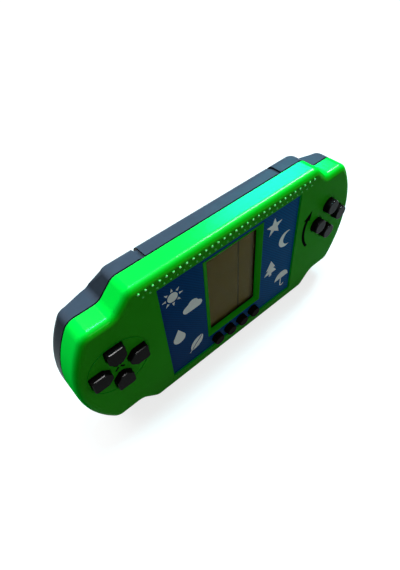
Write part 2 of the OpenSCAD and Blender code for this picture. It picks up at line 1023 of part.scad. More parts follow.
// Contact sheet on the board, with a hole round each dome and clear of the screw bosses
module sheet() {
    color(silicone_grey)
        stand()
            slab(sheet_front, board_front)
                difference() {
                    children(0);
                    children(1);
                    at_spots(case_screw_spots)
                        circle(boss_radius + play);
                }
}

module dpad_sheet() {
    sheet() {
        translate([-pad_x, pad_y])
            circle(dpad_sheet_radius);
        for (side = [0:3])
            at_side(-pad_x, side)
                translate([dpad_middle, 0])
                    circle(dome_large + dome_flare + hole_rim);
    }
}

module action_sheet() {
    sheet() {
        translate([pad_x, pad_y])
            circle(action_sheet_radius);
        for (side = [0:3])
            at_side(pad_x, side)
                translate([action_spread, 0])
                    circle(dome_small + dome_flare + hole_rim);
    }
}

module key_sheet() {
    half = 1.5 * key_pitch + key_diameter / 2 + sheet_rim;
    sheet() {
        round_box(-half, -key_drop - key_sheet_down, half, -key_drop + key_sheet_up, door_corner);
        for (i = [0:3])
            at_key(i)
                circle(dome_small + dome_flare + hole_rim);
    }
}

// Rubber dome under a cap: a flared skirt round a contact pill
module dome(r) {
    h = dome_back - flange_back;
    roof = h / 3;
    color(silicone_grey)
        translate([0, 0, -dome_back])
            rotate_extrude()
                polygon([
                    [0, 0], [pill_radius, 0], [pill_radius, h - roof], [r - dome_wall, h - roof],
                    [r + dome_flare - dome_wall, 0], [r + dome_flare, 0], [r, h], [0, h]
                ]);
}

// Direction cap: a flange under the face and a bevelled, house-shaped top
module direction_cap() {
    color(cap_black) {
        slab(flange_front, flange_back)
            polygon(cap_outline(flange));
        slab(cap_bevel - dpad_rise, flange_front + eps)
            polygon(cap_outline(0));
        hull() {
            slab(cap_bevel - dpad_rise - eps, cap_bevel - dpad_rise)
                polygon(cap_outline(0));
            slab(-dpad_rise, eps - dpad_rise)
                polygon(cap_outline(-cap_bevel));
        }
    }
}

// Round cap: a flange under the face and a top edge rounded by cap_round
module round_cap(d, rise) {
    r = d / 2;
    top = rise - cap_round;
    color(cap_black) {
        slab(flange_front, flange_back)
            circle(r + flange);
        rotate_extrude() {
            translate([0, -flange_front - eps])
                square([r, flange_front + top + eps]);
            square([r - cap_round, rise]);
            intersection() {
                translate([r - cap_round, top])
                    circle(cap_round);
                square([r, rise]);
            }
        }
    }
}

module dpad_cap(side) {
    stand()
        at_side(-pad_x, side)
            direction_cap();
}

module dpad_dome(side) {
    stand()
        at_side(-pad_x, side)
            translate([dpad_middle, 0])
                dome(dome_large);
}

module action_cap(side) {
    stand()
        at_side(pad_x, side)
            translate([action_spread, 0])
                round_cap(action_diameter, action_rise);
}

module action_dome(side) {
    stand()
        at_side(pad_x, side)
            translate([action_spread, 0])
                dome(dome_small);
}

module key_cap(i) {
    stand()
        at_key(i)
            round_cap(key_diameter, key_rise);
}

module key_dome(i) {
    stand()
        at_key(i)
            dome(dome_small);
}

front_shell();
rear_shell();
battery_door();
door_screw();
face_panel();
screen_lens();
lcd_glass();
lcd_reflector();
zebra_strip();
main_board();
chip_blob();
board_resistors();
board_capacitors();
buzzer();
buzzer_leads();
battery_upper();
battery_lower();
contact_bridge();
contact_positive();
contact_negative();
battery_leads();
dpad_sheet();
action_sheet();
key_sheet();
dpad_cap(0);  // dpad_right
dpad_cap(1);  // dpad_up
dpad_cap(2);  // dpad_left
dpad_cap(3);  // dpad_down
action_cap(0);  // action_right
action_cap(1);  // action_top
action_cap(2);  // action_left
action_cap(3);  // action_bottom
key_cap(0);  // key_1
key_cap(1);  // key_2
key_cap(2);  // key_3
key_cap(3);  // key_4
dpad_dome(0);  // dome_dpad_right
dpad_dome(1);  // dome_dpad_up
dpad_dome(2);  // dome_dpad_left
dpad_dome(3);  // dome_dpad_down
action_dome(0);  // dome_action_right
action_dome(1);  // dome_action_top
action_dome(2);  // dome_action_left
action_dome(3);  // dome_action_bottom
key_dome(0);  // dome_key_1
key_dome(1);  // dome_key_2
key_dome(2);  // dome_key_3
key_dome(3);  // dome_key_4
case_screws();
board_screws();
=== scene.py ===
"""Looks of a handheld game console: rounded shells and caps, prints, finishes, light and camera."""

import json
from math import acos, atan2, cos, pi, radians, sin, sqrt, tan

import bmesh
import bpy
from mathutils import Euler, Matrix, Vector


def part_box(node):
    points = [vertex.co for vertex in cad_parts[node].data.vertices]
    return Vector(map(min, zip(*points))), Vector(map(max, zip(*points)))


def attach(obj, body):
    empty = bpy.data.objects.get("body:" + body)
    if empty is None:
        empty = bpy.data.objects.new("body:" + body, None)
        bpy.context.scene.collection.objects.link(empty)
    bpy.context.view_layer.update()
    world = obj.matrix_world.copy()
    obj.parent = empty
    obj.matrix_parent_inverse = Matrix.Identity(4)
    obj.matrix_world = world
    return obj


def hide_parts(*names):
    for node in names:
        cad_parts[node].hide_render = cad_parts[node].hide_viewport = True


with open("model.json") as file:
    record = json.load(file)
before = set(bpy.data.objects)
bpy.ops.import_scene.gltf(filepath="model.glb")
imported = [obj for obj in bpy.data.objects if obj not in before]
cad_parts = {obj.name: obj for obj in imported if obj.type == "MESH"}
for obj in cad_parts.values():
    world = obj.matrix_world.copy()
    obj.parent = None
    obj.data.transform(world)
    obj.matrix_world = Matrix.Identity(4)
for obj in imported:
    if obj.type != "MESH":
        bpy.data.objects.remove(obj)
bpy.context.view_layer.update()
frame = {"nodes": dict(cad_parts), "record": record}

MM = 0.001


def box_mm(node):
    """Lowest and highest corner of a CAD node, in millimetres."""
    low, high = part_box(node)
    return low / MM, high / MM


# Sizes that the frame's boxes don't tell, in millimetres, as in the part's source
GRIP_HEIGHT = 66
GRIP_LENGTH = 32.5
GRIP_CORNER = 6
SHOULDER_SLOPE = radians(45)
SHOULDER_BEND = 5.5
END_RADIUS = 56
FACE_ROUND = 3.6
BACK_ROUND = 5
GRIP_EDGE = 1
FACE_WALL = 2.4
SIDE_WALL = 2
BACK_WALL = 1.8
CORNER_WALL = 1
SEAM_LINE = 0.5
GROOVE_X = 38.5
GROOVE_WIDTH = 2
GROOVE_DEPTH = 1
PLAY = 0.2
CAP_GAP = 0.3
FLANGE = 0.9
FLANGE_THICKNESS = 1
PANEL_RECESS = 1.3
RIM_DEPTH = 0.8
RIM_WIDTH = 0.6
WINDOW_BEVEL = 2.4
FRAME_WIDTH = WINDOW_BEVEL + RIM_WIDTH
LENS_MARGIN = 2
RING_GAP = 1.5
RING_WIDTH = 0.5
RING_DEPTH = 0.3
DOT_RADIUS = 0.6
DOT_RISE = 0.5
DOT_PITCH = 3.32
DOT_COUNT = 31
DOT_ROW_GAP = 2.7
LEAST_BEND = 0.3

# The skins' own allowances, in millimetres: broken edges, overlaps, how deep a dot is rooted, how far a
# tool reaches past what it cuts, and how near to each other points are merged
EDGE = 0.15
OVERLAP = 0.05
DOT_ROOT = 0.1
PAST = 1
MERGE = 0.002

# Steps of the arcs in the outline and of the rounded edges
END_STEPS = 22
BEND_STEPS = 9
ROUND_STEPS = 9
CIRCLE_STEPS = 64
SCREW_STEPS = 48
DOT_STEPS = 20
DOME_STEPS = 5

# Edges sharper than this angle stay sharp
SHARP_ANGLE = radians(35)

# Share of a surface's normal that points forwards, up or sideways, at which the finish changes
FACING = 0.8
RISING = 0.6
LEANING = 0.05
RUBBED = 0.1

# Places from the frame. The drawing has x to the right, y upwards and depth into the body, all from the
# middle of the face.
shell_low, shell_high = box_mm("front_shell")
back_low, back_high = box_mm("rear_shell")
panel_low, panel_high = box_mm("face_panel")
lens_low, lens_high = box_mm("screen_lens")
BODY_LENGTH = shell_high.x - shell_low.x
BODY_HEIGHT = shell_high.z - shell_low.z
MIDDLE_Z = BODY_HEIGHT / 2
FACE_Y = lens_low.y - FACE_WALL
FRONT_DEPTH = shell_high.y - FACE_Y
BODY_DEPTH = back_high.y - FACE_Y
BACK_INSIDE = BODY_DEPTH - BACK_WALL
PANEL_HALF = (panel_high.x + PLAY, panel_high.z + PLAY - MIDDLE_Z)
PANEL_FRONT = panel_low.y - FACE_Y
WINDOW_HALF = (lens_high.x - LENS_MARGIN, (lens_high.z - lens_low.z) / 2 - LENS_MARGIN)
WINDOW_Y = (lens_high.z + lens_low.z) / 2 - MIDDLE_Z


def middle_of(node):
    """Middle of a CAD node in the drawing: x and y."""
    low, high = box_mm(node)
    return (low.x + high.x) / 2, (low.z + high.z) / 2 - MIDDLE_Z


def depths_of(node):
    """Front and back depth of a CAD node in the drawing."""
    low, high = box_mm(node)
    return low.y - FACE_Y, high.y - FACE_Y


def place(x, y, depth):
    """A point of the drawing in the frame, in metres."""
    return Vector((x, FACE_Y + depth, MIDDLE_Z + y)) * MM


# Flat outlines

def arc(x, y, r, start, end, steps):
    """Points of an arc between two angles."""
    turns = [start + (end - start) * k / steps for k in range(steps + 1)]
    return [(x + r * cos(a), y + r * sin(a)) for a in turns]


def circle(x, y, r, steps=CIRCLE_STEPS):
    """Points of a full circle."""
    return arc(x, y, r, 0, 2 * pi, steps)[:-1]


def rectangle(x, y, half_x, half_y):
    """Corners of a rectangle round its middle."""
    left, right = x - half_x, x + half_x
    low, high = y - half_y, y + half_y
    return [(left, low), (right, low), (right, high), (left, high)]


def round_rectangle(x0, y0, x1, y1, r):
    """Rectangle with round corners."""
    spots = [(x1 - r, y1 - r), (x0 + r, y1 - r), (x0 + r, y0 + r), (x1 - r, y0 + r)]
    points = []
    for k, (x, y) in enumerate(spots):
        points += arc(x, y, r, k * pi / 2, (k + 1) * pi / 2, BEND_STEPS)
    return points


def shift(points, x, y):
    """The points moved by x and y."""
    return [(px + x, py + y) for px, py in points]


def turn(points, angle):
    """The points turned about the origin."""
    c, s = cos(angle), sin(angle)
    return [(x * c - y * s, x * s + y * c) for x, y in points]


def round_corners(points, r, steps=4):
    """The polygon with each corner cut to an arc that starts r from it."""
    result = []
    count = len(points)
    for k in range(count):
        here = Vector(points[k])
        before = Vector(points[k - 1])
        after = Vector(points[(k + 1) % count])
        start = here + (before - here).normalized() * r
        end = here + (after - here).normalized() * r
        for i in range(steps + 1):
            t = i / steps
            p = start * (1 - t) ** 2 + here * 2 * t * (1 - t) + end * t ** 2
            result.append((p.x, p.y))
    return result


def outline(inset):
    """Outline of the body, moved inwards."""
    half_grip = GRIP_HEIGHT / 2 - inset
    half_body = BODY_HEIGHT / 2 - inset
    end_x = BODY_LENGTH / 2 - END_RADIUS
    r_end = END_RADIUS - inset
    r_corner = max(GRIP_CORNER - inset, LEAST_BEND)
    corner_y = half_grip - r_corner
    corner_x = end_x + sqrt((r_end - r_corner) ** 2 - corner_y ** 2)
    a_end = atan2(corner_y, corner_x - end_x)
    half_slope = tan(SHOULDER_SLOPE / 2)
    shoulder_x = BODY_LENGTH / 2 - GRIP_LENGTH
    slope_run = (BODY_HEIGHT - GRIP_HEIGHT) / 2 / tan(SHOULDER_SLOPE)
    r_foot = SHOULDER_BEND + inset
    r_head = max(SHOULDER_BEND - inset, LEAST_BEND)
    foot_x = shoulder_x + slope_run + (r_foot - inset) * half_slope
    head_x = shoulder_x - (r_head + inset) * half_slope
    quarter = arc(end_x, 0, r_end, a_end / (2 * END_STEPS + 1), a_end, END_STEPS)
    quarter += arc(corner_x, corner_y, r_corner, a_end, pi / 2, BEND_STEPS)[1:]
    quarter += arc(foot_x, half_grip + r_foot, r_foot, 1.5 * pi, 1.5 * pi - SHOULDER_SLOPE, BEND_STEPS)
    quarter += arc(head_x, half_body - r_head, r_head, pi / 2 - SHOULDER_SLOPE, pi / 2, BEND_STEPS)
    upper = quarter + [(-x, y) for x, y in reversed(quarter)]
    return upper + [(-x, -y) for x, y in upper]


def in_foot(k):
    """Whether point k of the outline lies in the bend between a grip and the slope beside it."""
    quarter_points = END_STEPS + 3 * BEND_STEPS + 3
    k %= 2 * quarter_points
    from_end = min(k, 2 * quarter_points - 1 - k)
    first = END_STEPS + BEND_STEPS + 1
    return first <= from_end <= first + BEND_STEPS


def rounding(r):
    """Inset and depth of the rings that round an edge of radius r."""
    turns = [pi / 2 * k / ROUND_STEPS for k in range(ROUND_STEPS + 1)]
    return [(r * (1 - sin(a)), r * (1 - cos(a))) for a in turns]


# Solids

def loft(loops, closed=False):
    """Solid through loops of points, with its ends filled, or closed into a ring."""
    bm = bmesh.new()
    rings = [[bm.verts.new(p) for p in loop] for loop in loops]
    count = len(rings[0])
    pairs = list(zip(rings, rings[1:]))
    if closed:
        pairs.append((rings[-1], rings[0]))
    else:
        bm.faces.new(rings[0])
        bm.faces.new(rings[-1])
    for near, far in pairs:
        for k in range(count):
            after = (k + 1) % count
            bm.faces.new((near[k], near[after], far[after], far[k]))
    bmesh.ops.recalc_face_normals(bm, faces=bm.faces)
    return bm


def at_depth(points, depth):
    """The drawing's points as a loop at one depth."""
    return [place(x, y, depth) for x, y in points]


def prism(points, front, back):
    """Solid of one outline between two depths."""
    return loft([at_depth(points, front), at_depth(points, back)])


def ring_prism(outer, inner, front, back):
    """Solid between two outlines with as many points, between two depths."""
    loops = [at_depth(outer, front), at_depth(outer, back), at_depth(inner, back), at_depth(inner, front)]
    return loft(loops, closed=True)


def face_loops(shape, floor):
    """Loops of an opening in the face with a broken rim; shape gives its outline, grown."""
    rings = [(2 * EDGE, -PAST), (2 * EDGE, -EDGE), (0, EDGE), (0, floor)]
    return [at_depth(shape(grow), depth) for grow, depth in rings]


def face_cut(shape, floor):
    """What an opening with a broken rim takes out of the face."""
    return loft(face_loops(shape, floor))


def back_cut(shape, floor):
    """What an opening with a broken rim takes out of the back."""
    rings = [
        (0, floor),
        (0, BODY_DEPTH - EDGE),
        (2 * EDGE, BODY_DEPTH + EDGE),
        (2 * EDGE, BODY_DEPTH + PAST),
    ]
    return loft([at_depth(shape(grow), depth) for grow, depth in rings])


def lathe(x, y, profile, steps=CIRCLE_STEPS):
    """Solid turned about an axis into the body; the profile has radius and depth."""
    return loft([at_depth(circle(x, y, r, steps), depth) for r, depth in profile])


def gather(solids):
    """One mesh of several solids that don't touch."""
    whole = bmesh.new()
    for bm in solids:
        mesh = bpy.data.meshes.new("gathered")
        bm.to_mesh(mesh)
        bm.free()
        whole.from_mesh(mesh)
        bpy.data.meshes.remove(mesh)
    return whole


def as_object(bm, name):
    """An object in the scene with the mesh of a bmesh, which is used up."""
    mesh = bpy.data.meshes.new(name)
    bm.to_mesh(mesh)
    bm.free()
    obj = bpy.data.objects.new(name, mesh)
    bpy.context.collection.objects.link(obj)
    return obj


def combine(base, tool, operation):
    """The base with the tool cut from it (DIFFERENCE) or joined to it (UNION)."""
    base_obj = as_object(base, "base")
    tool_obj = as_object(tool, "tool")
    boolean = base_obj.modifiers.new("combine", "BOOLEAN")
    boolean.operation = operation
    boolean.solver = "EXACT"
    boolean.object = tool_obj
    evaluated = base_obj.evaluated_get(bpy.context.evaluated_depsgraph_get())
    result = bmesh.new()
    result.from_mesh(evaluated.to_mesh())
    evaluated.to_mesh_clear()
    for obj in (base_obj, tool_obj):
        mesh = obj.data
        bpy.data.objects.remove(obj)
        bpy.data.meshes.remove(mesh)
    bmesh.ops.remove_doubles(result, verts=result.verts, dist=MERGE * MM)
    return result


def cut(base, *tools):
    """The base with each tool cut from it in turn."""
    for tool in tools:
        base = combine(base, tool, "DIFFERENCE")
    return base


def join(base, *tools):
    """The base with each tool joined to it in turn."""
    for tool in tools:
        base = combine(base, tool, "UNION")
    return base


def piece(name, bm, material, body, node=None):
    """A finished piece that rides on a body."""
    obj = as_object(bm, name)
    obj.data.materials.append(material)
    obj.data.shade_smooth()
    obj.data.set_sharp_from_angle(angle=SHARP_ANGLE)
    normals = obj.modifiers.new("normals", "WEIGHTED_NORMAL")
    normals.keep_sharp = True
    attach(obj, body)
    if node:
        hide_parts(node)
    return obj


# Colours, as linear values
GREEN = (0.001, 0.57, 0.038)
# Painted shade: darker copies of GREEN for the rounded edge of the face and for the face, the face's one
# also tinted as by warmer light
SHADED_EDGE_GREEN = (0.001, 0.35, 0.004)
SHADED_FACE_GREEN = (0.028, 0.385, 0.008)
# Painted highlights on the raised dots' tips, brighter on the upper row, which catches more light, than on
# the lower
UPPER_TIP_HIGHLIGHT = (0.32, 0.8, 0.32)
LOWER_TIP_HIGHLIGHT = (0.12, 0.6, 0.1)
SHELL_BLACK = (0.012, 0.0145, 0.02)
# Painted sheen: the lighter, bluer grey painted on the rear shell where it faces up
SHELL_PAINTED_SHEEN = (0.042, 0.044, 0.063)
CAP_BLACK = (0.0085, 0.0055, 0.0055)
PANEL_DARK = (0.001, 0.048, 0.18)
PANEL_LIGHT = (0.002, 0.112, 0.32)
SIGN_INK = (0.92, 0.88, 0.8)
BLACK_INK = (0.006, 0.006, 0.006)
SCREEN = (0.2, 0.116, 0.016)
LENS_TINT = (0.93, 0.94, 0.9, 1)
LENS_COAT = (0.9, 0.78, 0.5, 1)

# Grain, mottles and prints, in millimetres and shares
GRAIN_SPREAD = 0.15
GRAIN_DEPTH = 0.02
PANEL_LINE = 1.7
LINE_DEPTH = 0.18
# Shares of the normal facing forwards where the green's painted shade begins, and where the rounded edge's
# shade is full
SIDE_TURN = 0.25
EDGE_TURN = 0.8
GREEN_MOTTLE = 0.04
GREEN_MOTTLE_SIZE = 10
# Share of the normal pointing up where the rear shell's painted sheen begins, and where it is full
SHEEN_START = 0.55
SHEEN_FULL = 0.97
SHELL_MOTTLE = 0.12
SHELL_MOTTLE_SIZE = 4
# Shares of a dot's rise where its painted highlight begins and where it is full
TIP_START = 0.2
TIP_END = 0.6
SCREEN_MOTTLE = 0.1
SCREEN_MOTTLE_SIZE = 12
CELL_PITCH = (1.9, 2.4)
CELL_GAP = 0.5
CELL_SHADE = 0.95
SCORE_LINE = 4.5
SCORE_LINE_WIDTH = 1
LINE_SHADE = 0.4
# Width and darkness of the painted shade along the window's right and lower edges
SHADE_WIDTH = 3.2
EDGE_SHADE = 0.2
LENS_SMEAR_SIZE = 6
LENS_ROUGHNESS = (0.03, 0.08)
LENS_IOR = 1.02


# Materials

def add_node(tree, kind, **values):
    """A node with its properties and unlinked inputs set by name; an underscore stands for a space."""
    node = tree.nodes.new(kind)
    for key, value in values.items():
        name = key.replace("_", " ")
        if name in node.inputs:
            node.inputs[name].default_value = value
        else:
            setattr(node, key, value)
    return node


def noise(tree, size, detail=2.0):
    """Noise over the object's own coordinates with features of that size in millimetres."""
    coords = add_node(tree, "ShaderNodeTexCoord")
    pattern = add_node(tree, "ShaderNodeTexNoise", Scale=1 / (size * MM), Detail=detail)
    tree.links.new(coords.outputs["Object"], pattern.inputs["Vector"])
    return pattern.outputs["Fac"]


def ramp(tree, value, start, end, low=0, high=1, curve="LINEAR"):
    """A value between start and end mapped to values from low to high."""
    node = add_node(tree, "ShaderNodeMapRange", interpolation_type=curve)
    limits = {"From Min": start, "From Max": end, "To Min": low, "To Max": high}
    for name, limit in limits.items():
        node.inputs[name].default_value = limit
    tree.links.new(value, node.inputs["Value"])
    return node.outputs["Result"]


def between(tree, factor, low, high):
    """A factor from 0 to 1 mapped to values from low to high."""
    return ramp(tree, factor, 0, 1, low, high)


def colour_run(tree, factor, stops):
    """A colour that runs through stops, each a place from 0 to 1 and its colour."""
    node = add_node(tree, "ShaderNodeValToRGB")
    elements = node.color_ramp.elements
    for spot, colour in stops[1:-1]:
        elements.new(spot)
    for element, (spot, colour) in zip(elements, stops):
        element.position = spot
        element.color = (*colour, 1)
    tree.links.new(factor, node.inputs["Fac"])
    return node.outputs["Color"]


def blend_colours(tree, factor, first, second):
    """A colour between two others."""
    return colour_run(tree, factor, [(0, first), (1, second)])


def new_material(name):
    """A node material with its tree and its shader."""
    material = bpy.data.materials.new(name)
    material.use_nodes = True
    return material, material.node_tree, material.node_tree.nodes["Principled BSDF"]


def scaled(colour, factor):
    """A colour made darker or lighter."""
    return tuple(min(channel * factor, 1) for channel in colour)


def patchy(tree, colour, mottle, size):
    """One colour, a little darker and lighter in patches of that size in millimetres."""
    return blend_colours(tree, noise(tree, size), scaled(colour, 1 - mottle), scaled(colour, 1 + mottle))


def add_feel(tree, shader, roughness, bump, gloss, grain_size=0.25):
    """Grain in the roughness of a shader, with a fine bump, and the strength of its gloss."""
    grain = noise(tree, grain_size, detail=4)
    spread = between(tree, grain, roughness * (1 - GRAIN_SPREAD), roughness * (1 + GRAIN_SPREAD))
    tree.links.new(spread, shader.inputs["Roughness"])
    relief = add_node(tree, "ShaderNodeBump", Strength=bump, Distance=GRAIN_DEPTH * MM)
    tree.links.new(grain, relief.inputs["Height"])
    tree.links.new(relief.outputs["Normal"], shader.inputs["Normal"])
    shader.inputs["Specular IOR Level"].default_value = gloss


def surface(name, colour, roughness, mottle=0.06, mottle_size=4, bump=0.1, metal=0, gloss=0.5):
    """A finish with a faint mottle in its colour, grain in its roughness and a fine bump."""
    material, tree, shader = new_material(name)
    tree.links.new(patchy(tree, colour, mottle, mottle_size), shader.inputs["Base Color"])
    add_feel(tree, shader, roughness, bump, gloss)
    shader.inputs["Metallic"].default_value = metal
    return material


def axes(tree, kind="Object"):
    """The object's own coordinates, or those of its Normal, one output for each axis."""
    coords = add_node(tree, "ShaderNodeTexCoord")
    parts = add_node(tree, "ShaderNodeSeparateXYZ")
    tree.links.new(coords.outputs[kind], parts.inputs["Vector"])
    return parts.outputs


def calculate(tree, operation, *values):
    """A math node on up to three values, each a number or a socket."""
    node = add_node(tree, "ShaderNodeMath", operation=operation)
    for socket, value in zip(node.inputs, values):
        if isinstance(value, (int, float)):
            socket.default_value = value
        else:
            tree.links.new(value, socket)
    return node.outputs["Value"]


def dimmed(tree, colour, factor):
    """A colour times a factor that varies over the surface."""
    node = add_node(tree, "ShaderNodeVectorMath", operation="SCALE")
    tree.links.new(colour, node.inputs[0])
    tree.links.new(factor, node.inputs["Scale"])
    return node.outputs["Vector"]


def mottled(tree, tint, mottle, size):
    """A tint that varies over the surface, a little darker and lighter in patches."""
    return dimmed(tree, tint, between(tree, noise(tree, size), 1 - mottle, 1 + mottle))


def panel_finish():
    """Blue printed sheet: lighter to the right, under fine slanting lines."""
    material, tree, shader = new_material("blue_panel")
    spot = axes(tree)
    half = PANEL_HALF[0] * MM
    shade = blend_colours(tree, ramp(tree, spot["X"], -half, half), PANEL_DARK, PANEL_LIGHT)
    along = calculate(tree, "ADD", spot["X"], spot["Z"])
    wave = calculate(tree, "SINE", calculate(tree, "MULTIPLY", along, 2 * pi / (PANEL_LINE * MM)))
    lines = ramp(tree, wave, -1, 1, 1 - LINE_DEPTH, 1 + LINE_DEPTH)
    tree.links.new(dimmed(tree, shade, lines), shader.inputs["Base Color"])
    add_feel(tree, shader, roughness=0.35, bump=0.05, gloss=0.008, grain_size=0.3)
    return material


def green_finish(name, roughness, gloss):
    """Green plastic with painted shade by the normal: darker on the rounded edge of the face, darker and
    yellower on the face, as in dimmer, warmer light.
    """
    material, tree, shader = new_material(name)
    facing = calculate(tree, "MULTIPLY", axes(tree, "Normal")["Y"], -1)
    tint = colour_run(tree, facing, [(SIDE_TURN, GREEN), (EDGE_TURN, SHADED_EDGE_GREEN), (1, SHADED_FACE_GREEN)])
    tint = mottled(tree, tint, GREEN_MOTTLE, GREEN_MOTTLE_SIZE)
    tree.links.new(tint, shader.inputs["Base Color"])
    add_feel(tree, shader, roughness, bump=0.05, gloss=gloss)
    return material


def shell_finish():
    """Black plastic, painted lighter and bluer where it faces up: a painted sheen, as of the sky mirrored
    there.
    """
    material, tree, shader = new_material("black_shell")
    sheen_on_top = ramp(tree, axes(tree, "Normal")["Z"], SHEEN_START, SHEEN_FULL, curve="SMOOTHSTEP")
    tint = blend_colours(tree, sheen_on_top, SHELL_BLACK, SHELL_PAINTED_SHEEN)
    tint = mottled(tree, tint, SHELL_MOTTLE, SHELL_MOTTLE_SIZE)
    tree.links.new(tint, shader.inputs["Base Color"])
    add_feel(tree, shader, roughness=0.36, bump=0.12, gloss=0.02)
    return material


def dot_finish(name, colour):
    """Green plastic whose raised tips are painted paler: a painted highlight where light catches them."""
    material, tree, shader = new_material(name)
    start, end = ((FACE_Y - share * DOT_RISE) * MM for share in (TIP_START, TIP_END))
    tip = ramp(tree, axes(tree)["Y"], start, end)
    tree.links.new(blend_colours(tree, tip, GREEN, colour), shader.inputs["Base Color"])
    add_feel(tree, shader, roughness=0.25, bump=0.03, gloss=0.1, grain_size=0.2)
    return material


def screen_cells(tree, spot):
    """Shade of the playfield's faint cells and of the dark line beside the score column."""
    column = calculate(tree, "PINGPONG", spot["X"], CELL_PITCH[0] / 2 * MM)
    row = calculate(tree, "PINGPONG", spot["Z"], CELL_PITCH[1] / 2 * MM)
    in_cell = calculate(tree, "GREATER_THAN", calculate(tree, "MINIMUM", column, row), CELL_GAP / 2 * MM)
    in_field = calculate(tree, "LESS_THAN", spot["X"], SCORE_LINE * MM)
    on_line = calculate(tree, "COMPARE", spot["X"], SCORE_LINE * MM, SCORE_LINE_WIDTH / 2 * MM)
    cells = between(tree, calculate(tree, "MULTIPLY", in_cell, in_field), 1, CELL_SHADE)
    return calculate(tree, "MULTIPLY", cells, between(tree, on_line, 1, LINE_SHADE))


def screen_edges(tree, spot):
    """Painted shade along the right and lower edges of the window, where its walls would shade the display.
    """
    width = SHADE_WIDTH * MM
    window_right = WINDOW_HALF[0] * MM
    window_foot = (MIDDLE_Z + WINDOW_Y - WINDOW_HALF[1]) * MM
    right = ramp(tree, spot["X"], window_right - width, window_right, 1, EDGE_SHADE)
    lower = ramp(tree, spot["Z"], window_foot, window_foot + width, EDGE_SHADE, 1)
    return calculate(tree, "MULTIPLY", right, lower)


def screen_finish():
    """Olive display with faint cells, a dark line and painted shade at its edges."""
    material, tree, shader = new_material("screen_glass")
    spot = axes(tree)
    tint = patchy(tree, SCREEN, SCREEN_MOTTLE, SCREEN_MOTTLE_SIZE)
    shade = calculate(tree, "MULTIPLY", screen_cells(tree, spot), screen_edges(tree, spot))
    tree.links.new(dimmed(tree, tint, shade), shader.inputs["Base Color"])
    add_feel(tree, shader, roughness=0.3, bump=0.01, gloss=0.06, grain_size=2)
    return material


def cap_finish(name, roughness, gloss, bump=0.04):
    """Black plastic of the caps, smoother or duller."""
    return surface(name, CAP_BLACK, roughness, mottle=0.15, mottle_size=2, bump=bump, gloss=gloss)


def lens_finish():
    """Clear window: it lets light through and mirrors a little at its outer side."""
    material, tree, shader = new_material("clear_lens")
    tree.nodes.remove(shader)
    clear = add_node(tree, "ShaderNodeBsdfTransparent", Color=LENS_TINT)
    gloss = add_node(tree, "ShaderNodeBsdfGlossy", Color=LENS_COAT)
    smears = between(tree, noise(tree, LENS_SMEAR_SIZE), *LENS_ROUGHNESS)
    tree.links.new(smears, gloss.inputs["Roughness"])
    fresnel = add_node(tree, "ShaderNodeFresnel", IOR=LENS_IOR)
    inside = add_node(tree, "ShaderNodeNewGeometry").outputs["Backfacing"]
    outside = calculate(tree, "SUBTRACT", 1, inside)
    mix = add_node(tree, "ShaderNodeMixShader")
    tree.links.new(calculate(tree, "MULTIPLY", fresnel.outputs["Fac"], outside), mix.inputs["Fac"])
    tree.links.new(clear.outputs["BSDF"], mix.inputs[1])
    tree.links.new(gloss.outputs["BSDF"], mix.inputs[2])
    output = tree.nodes["Material Output"]
    tree.links.new(mix.outputs["Shader"], output.inputs["Surface"])
    return material


finish = {
    "green_shell": green_finish("green_shell", roughness=0.22, gloss=0.18),
    "green_side": green_finish("green_side", roughness=0.5, gloss=0),
    "green_face": green_finish("green_face", roughness=0.45, gloss=0.01),
    "upper_dots": dot_finish("upper_dots", UPPER_TIP_HIGHLIGHT),
    "lower_dots": dot_finish("lower_dots", LOWER_TIP_HIGHLIGHT),
    "black_shell": shell_finish(),
    "black_caps": cap_finish("black_caps", roughness=0.3, gloss=0.2),
    "pad_caps": cap_finish("pad_caps", roughness=0.25, gloss=0.012),
    "action_caps": cap_finish("action_caps", roughness=0.3, gloss=0.025),
    "cap_edges": cap_finish("cap_edges", roughness=0.15, gloss=0.6, bump=0.02),
    "key_caps": cap_finish("key_caps", roughness=0.4, gloss=0.005),
    "blue_panel": panel_finish(),
    "clear_lens": lens_finish(),
    "screen_glass": screen_finish(),
    "reflector": surface("reflector", (0.5, 0.5, 0.44), roughness=0.4),
    "zebra_rubber": surface("zebra_rubber", (0.5, 0.2, 0.22), roughness=0.6),
    "board_laminate": surface("board_laminate", (0.02, 0.16, 0.05), roughness=0.4, mottle=0.2),
    "resin": surface("resin", (0.01, 0.01, 0.012), roughness=0.25),
    "ceramic": surface("ceramic", (0.02, 0.02, 0.022), roughness=0.5),
    "sleeve": surface("sleeve", (0.02, 0.03, 0.12), roughness=0.35),
    "buzzer_brass": surface("buzzer_brass", (0.8, 0.6, 0.25), roughness=0.3, metal=1),
    "wire_sleeve": surface("wire_sleeve", (0.45, 0.02, 0.015), roughness=0.4),
    "cell_jacket": surface("cell_jacket", (0.03, 0.035, 0.045), roughness=0.3),
    "contact_steel": surface("contact_steel", (0.65, 0.65, 0.66), roughness=0.28, metal=1),
    "silicone": surface("silicone", (0.42, 0.42, 0.4), roughness=0.6),
    "screw_steel": surface("screw_steel", (0.6, 0.6, 0.62), roughness=0.3, metal=1),
    "sign_ink": surface("sign_ink", SIGN_INK, roughness=0.45, mottle=0.05, mottle_size=1, gloss=0.4),
    "black_ink": surface("black_ink", BLACK_INK, roughness=0.4, mottle=0.1, mottle_size=1, gloss=0),
}


def paint_frame():
    """Every CAD node takes the finish of its slot in the record."""
    for part in frame["record"]["subparts"]:
        obj = frame["nodes"][part["node"]]
        for slot in obj.material_slots:
            slot.material = finish[part["material_slot"]]


# Front shell

def screen_outline(grow):
    """Outline of the screen's window, grown."""
    return rectangle(0, WINDOW_Y, WINDOW_HALF[0] + grow, WINDOW_HALF[1] + grow)


